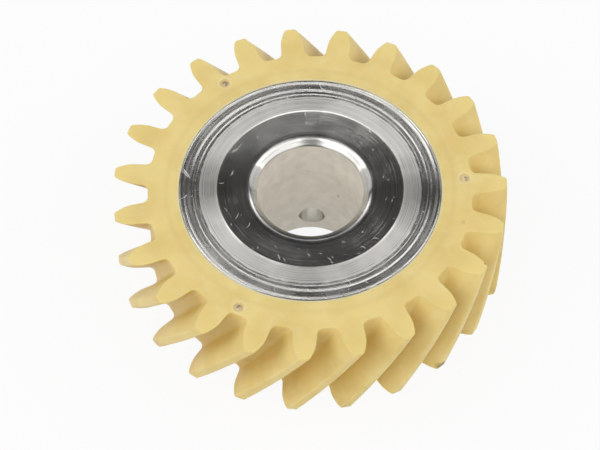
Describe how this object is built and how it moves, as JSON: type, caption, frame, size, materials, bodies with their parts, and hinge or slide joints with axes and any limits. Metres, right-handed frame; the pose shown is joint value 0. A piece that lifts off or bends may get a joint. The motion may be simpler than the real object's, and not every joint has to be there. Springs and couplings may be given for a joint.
{
  "type": "helical gear",
  "caption": "Right-hand helical gear: a moulded plastic toothed ring on a turned steel hub with a plain bore and a long boss cross-drilled for a pin.",
  "frame": {"origin": "centre of the hub's lower end face, on the bore axis", "axes": "+Z along the bore from the boss's end towards the polished land; +Y along the cross hole for the pin"},
  "size_m": [0.0466, 0.0466, 0.0191],
  "materials": {
    "ring_plastic": "cream-yellow moulded engineering plastic, semi-matt",
    "hub_steel": "bright turned steel with tool marks and fine scratches"
  },
  "bodies": {
    "root": {"toothed_ring": "ring_plastic", "hub": "hub_steel"}
  },
  "joints": []
}
